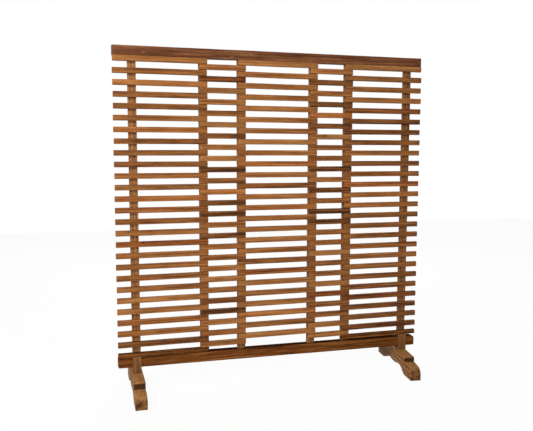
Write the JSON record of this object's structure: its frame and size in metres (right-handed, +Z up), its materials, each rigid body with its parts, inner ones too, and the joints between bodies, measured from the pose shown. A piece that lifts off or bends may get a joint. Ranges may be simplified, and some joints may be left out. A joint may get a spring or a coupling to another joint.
{
  "type": "garden privacy screen",
  "caption": "Free-standing slatted hardwood screen: slats laid like a log cabin on upright posts between a top and a bottom rail, on carved bracket feet.",
  "frame": {"origin": "on the ground, in the middle between the two feet and midway along them", "axes": "+X along the rails, towards the right foot; -Y towards the slatted front; +Z up"},
  "size_m": [1.752, 0.543, 1.8318],
  "materials": {
    "top_rail_wood": "dark oiled hardwood, worn satin",
    "bottom_rail_wood": "oiled hardwood, lighter along its top edge",
    "slat_wood": "oiled hardwood, each slat of its own shade",
    "post_wood": "weathered hardwood, streaked along the grain",
    "foot_wood": "oiled hardwood with dark, worn edges",
    "peg_wood": "turned hardwood"
  },
  "bodies": {
    "root": {"top_rail": "top_rail_wood", "bottom_rail": "bottom_rail_wood", "slat_course_01": "slat_wood", "slat_course_02": "slat_wood", "slat_course_03": "slat_wood", "slat_course_04": "slat_wood", "slat_course_05": "slat_wood", "slat_course_06": "slat_wood", "slat_course_07": "slat_wood", "slat_course_08": "slat_wood", "slat_course_09": "slat_wood", "slat_course_10": "slat_wood", "slat_course_11": "slat_wood", "slat_course_12": "slat_wood", "slat_course_13": "slat_wood", "slat_course_14": "slat_wood", "slat_course_15": "slat_wood", "slat_course_16": "slat_wood", "slat_course_17": "slat_wood", "slat_course_18": "slat_wood", "slat_course_19": "slat_wood", "slat_course_20": "slat_wood", "slat_course_21": "slat_wood", "slat_course_22": "slat_wood", "slat_course_23": "slat_wood", "slat_course_24": "slat_wood", "slat_course_25": "slat_wood", "slat_course_26": "slat_wood", "bottom_slat_left": "slat_wood", "bottom_slat_right": "slat_wood", "post_1": "post_wood", "post_2": "post_wood", "post_3": "post_wood", "post_4": "post_wood", "post_5": "post_wood", "post_6": "post_wood", "foot_left": "foot_wood", "foot_right": "foot_wood", "peg_top_1": "peg_wood", "peg_top_2": "peg_wood", "peg_top_3": "peg_wood", "peg_top_4": "peg_wood", "peg_top_5": "peg_wood", "peg_top_6": "peg_wood", "peg_bottom_1": "peg_wood", "peg_bottom_2": "peg_wood", "peg_bottom_3": "peg_wood", "peg_bottom_4": "peg_wood", "peg_bottom_5": "peg_wood", "peg_bottom_6": "peg_wood", "peg_foot_left": "peg_wood", "peg_foot_right": "peg_wood"}
  },
  "joints": []
}
